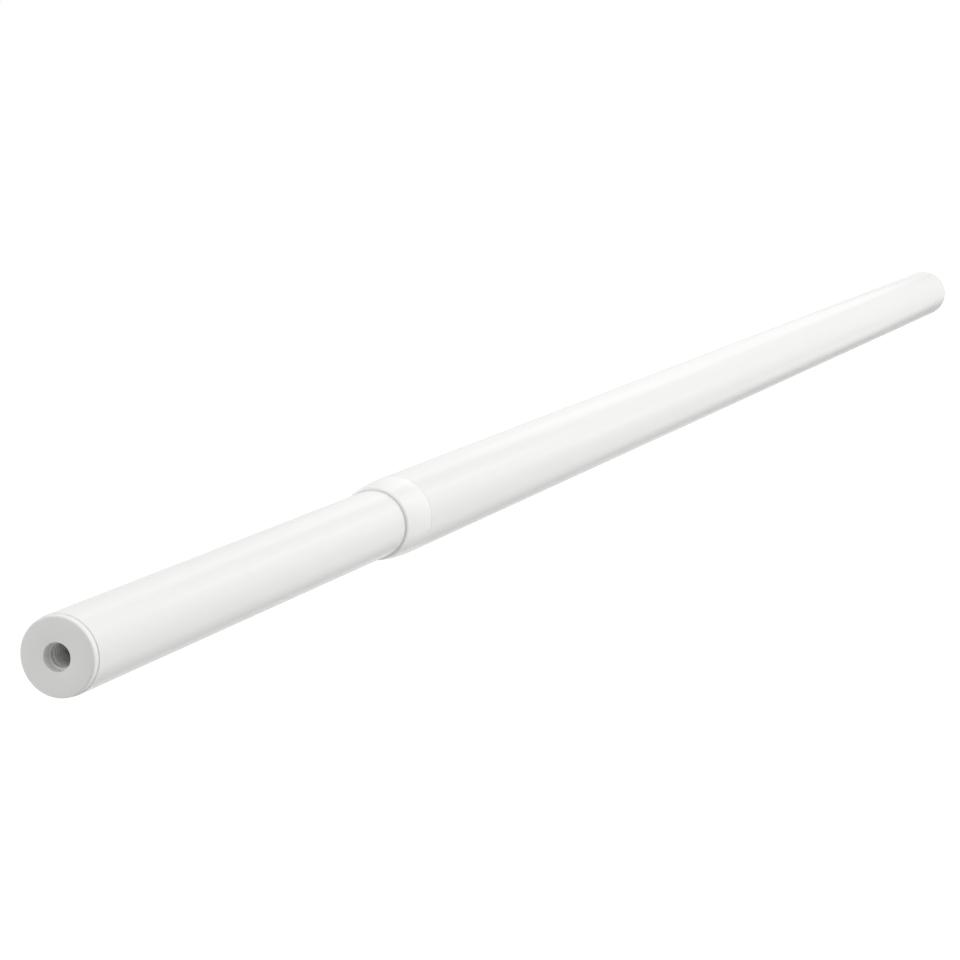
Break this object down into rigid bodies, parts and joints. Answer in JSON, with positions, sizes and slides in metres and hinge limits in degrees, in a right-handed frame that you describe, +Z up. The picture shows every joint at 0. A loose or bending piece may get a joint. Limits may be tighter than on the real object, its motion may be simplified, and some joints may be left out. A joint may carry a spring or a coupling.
{
  "type": "telescopic curtain rod",
  "caption": "Round white telescopic curtain rod: a thin tube slides and turns in a thicker one through a tapered collar, with threaded end plugs for finials.",
  "frame": {"origin": "on the rod's axis, half way along the thick tube, where a bracket would hold it", "axes": "+X along the rod from its thin end to its thick end, +Z up"},
  "size_m": [0.8238, 0.02, 0.02],
  "materials": {
    "white_powder_coat": "satin white powder coat on steel tube",
    "white_moulding": "white moulded plastic, fine satin",
    "natural_moulding": "unpigmented moulded plastic"
  },
  "bodies": {
    "outer": {"outer_tube": "white_powder_coat", "collar": "white_moulding", "outer_end_plug": "white_moulding"},
    "carriage": {"tail_bush": "natural_moulding"},
    "inner": {"inner_tube": "white_powder_coat", "inner_end_plug": "white_moulding"}
  },
  "joints": [
    {"name": "telescope", "type": "slide", "parent": "outer", "child": "carriage", "axis": [-1, 0, 0], "range_m": [-0.123, 0.376]},
    {"name": "twist", "type": "hinge", "parent": "carriage", "child": "inner", "pos_m": [0, 0, 0], "axis": [1, 0, 0], "continuous": true}
  ]
}
